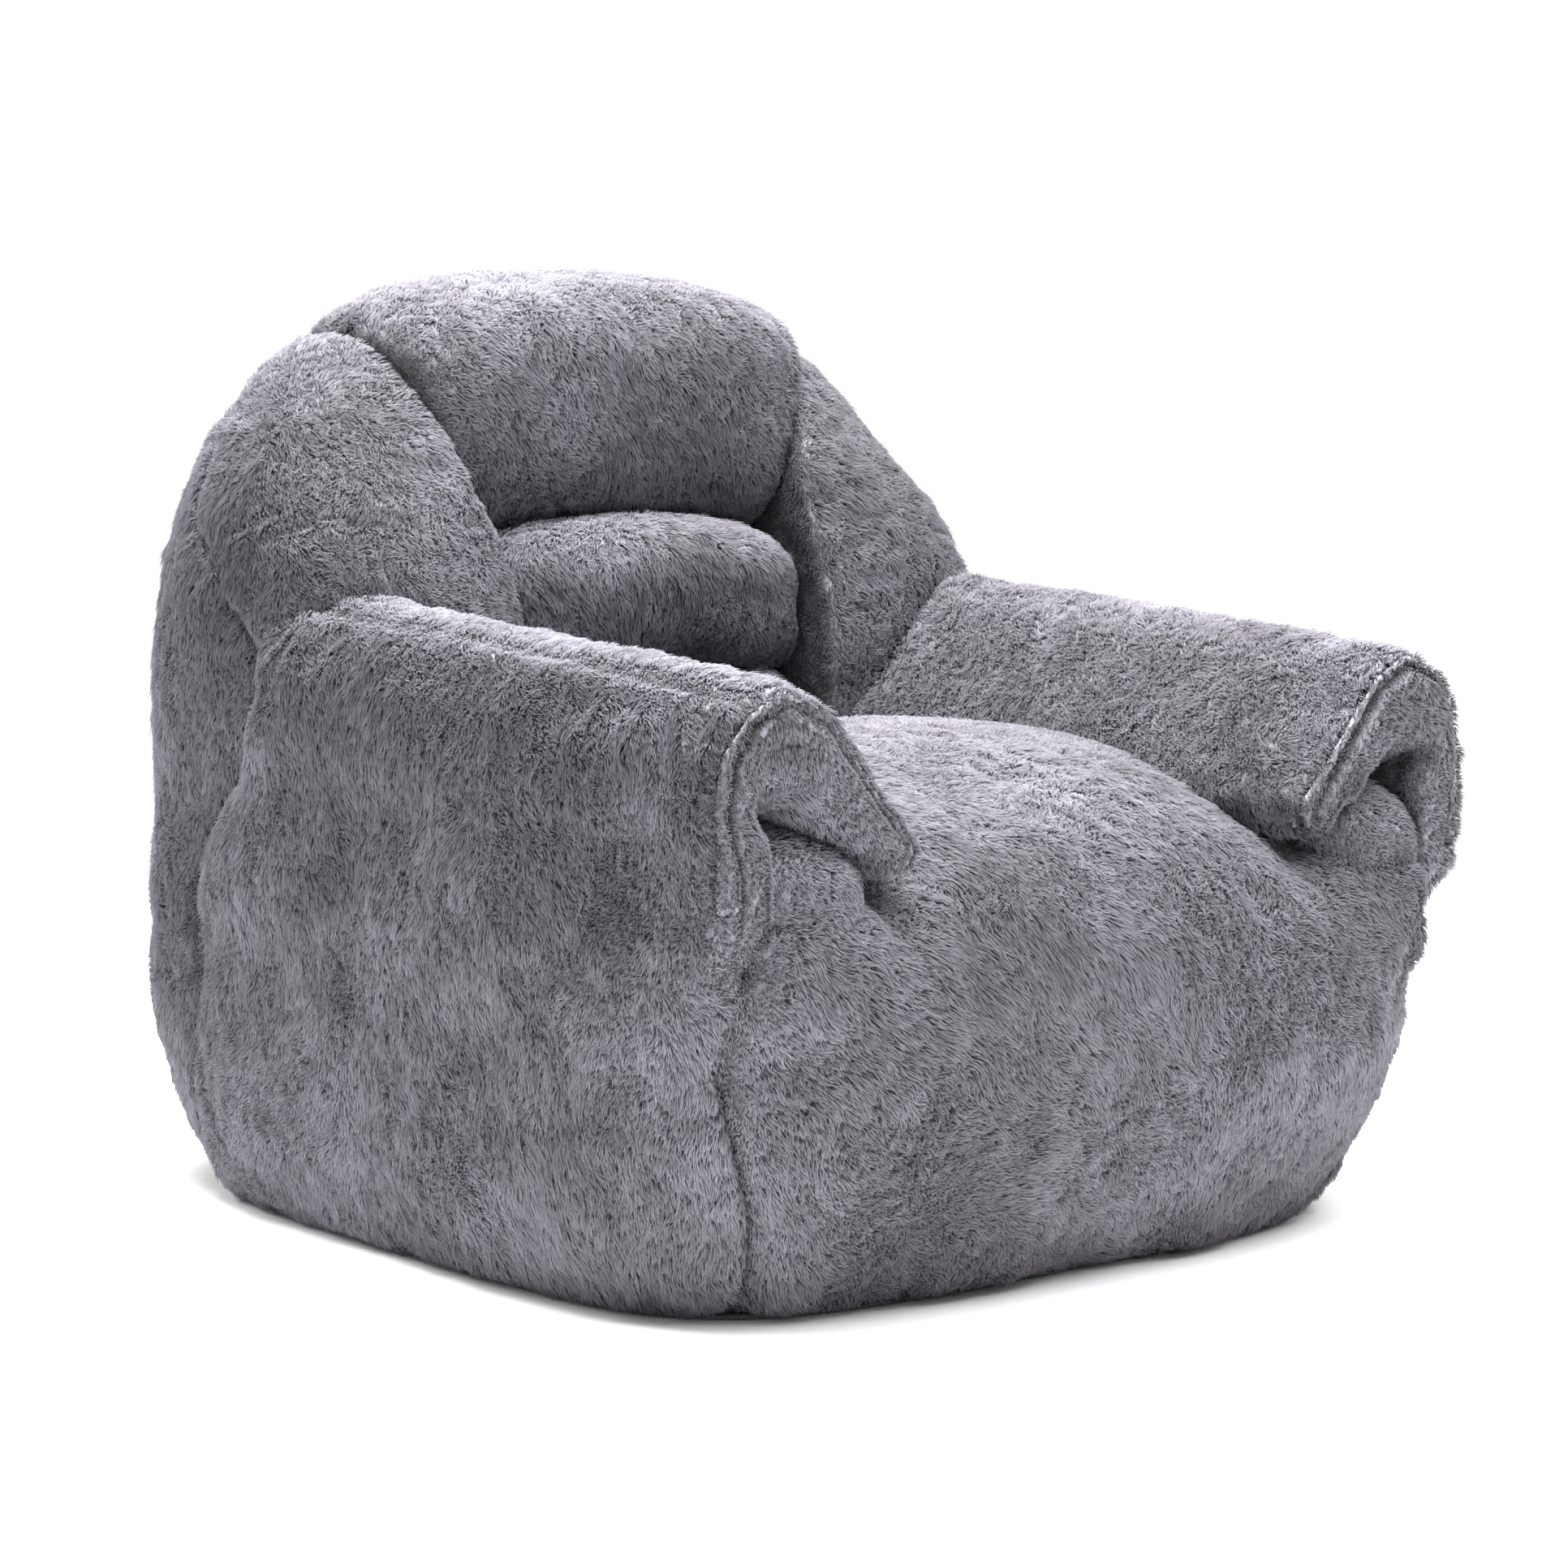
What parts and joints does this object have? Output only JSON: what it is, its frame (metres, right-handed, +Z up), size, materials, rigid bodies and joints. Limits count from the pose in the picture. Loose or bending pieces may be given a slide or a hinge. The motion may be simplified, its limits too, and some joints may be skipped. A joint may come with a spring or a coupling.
{
  "type": "bean bag chair",
  "caption": "Low foam-filled bean bag armchair in grey plush faux fur, with a high domed back, a lumbar roll and arms folded over open pockets.",
  "frame": {"origin": "on the floor, under the middle of the chair's bounding box", "axes": "+Z up; the front of the seat faces -Y; +X is the sitter's left, at the right seen from the front"},
  "size_m": [0.9272, 1.0742, 0.888],
  "materials": {
    "plush_fur": "matte",
    "base_cloth": "matte",
    "liner_cloth": "matte",
    "shredded_foam": "matte",
    "fibre_pad": "matte",
    "zip_tape": "matte",
    "zip_metal": "satin"
  },
  "bodies": {
    "chair": {"base_panel": "base_cloth", "seat_panel": "plush_fur", "right_side_panel": "plush_fur", "left_side_panel": "plush_fur", "right_mouth_binding": "plush_fur", "left_mouth_binding": "plush_fur", "right_arm_lining": "plush_fur", "left_arm_lining": "plush_fur", "right_bolster_panel": "plush_fur", "left_bolster_panel": "plush_fur", "crown_panel": "plush_fur", "right_wing_panel": "plush_fur", "left_wing_panel": "plush_fur", "lumbar_panel": "plush_fur", "tail_panel": "plush_fur", "rear_panel": "plush_fur", "seat_liner": "liner_cloth", "back_liner": "liner_cloth", "seat_filling": "shredded_foam", "back_filling": "shredded_foam", "right_arm_filling": "fibre_pad", "left_arm_filling": "fibre_pad", "right_arm_core_filling": "fibre_pad", "left_arm_core_filling": "fibre_pad", "right_bolster_filling": "fibre_pad", "left_bolster_filling": "fibre_pad", "crown_filling": "fibre_pad", "right_wing_filling": "fibre_pad", "left_wing_filling": "fibre_pad", "lumbar_filling": "fibre_pad", "tail_filling": "fibre_pad", "zip_upper_tape": "zip_tape", "zip_lower_tape": "zip_tape", "zip_stops": "zip_metal"},
    "slider": {"zip_slider": "zip_metal"},
    "pull": {"zip_pull": "zip_metal"}
  },
  "joints": [
    {"name": "zip_slide", "type": "slide", "parent": "chair", "child": "slider", "axis": [1, 0, 0], "range_m": [0, 0.49]},
    {"name": "pull_swing", "type": "hinge", "parent": "slider", "child": "pull", "pos_m": [-0.245, 0.5346, 0.25], "axis": [0, 0, -1], "range_deg": [0, 170]}
  ]
}
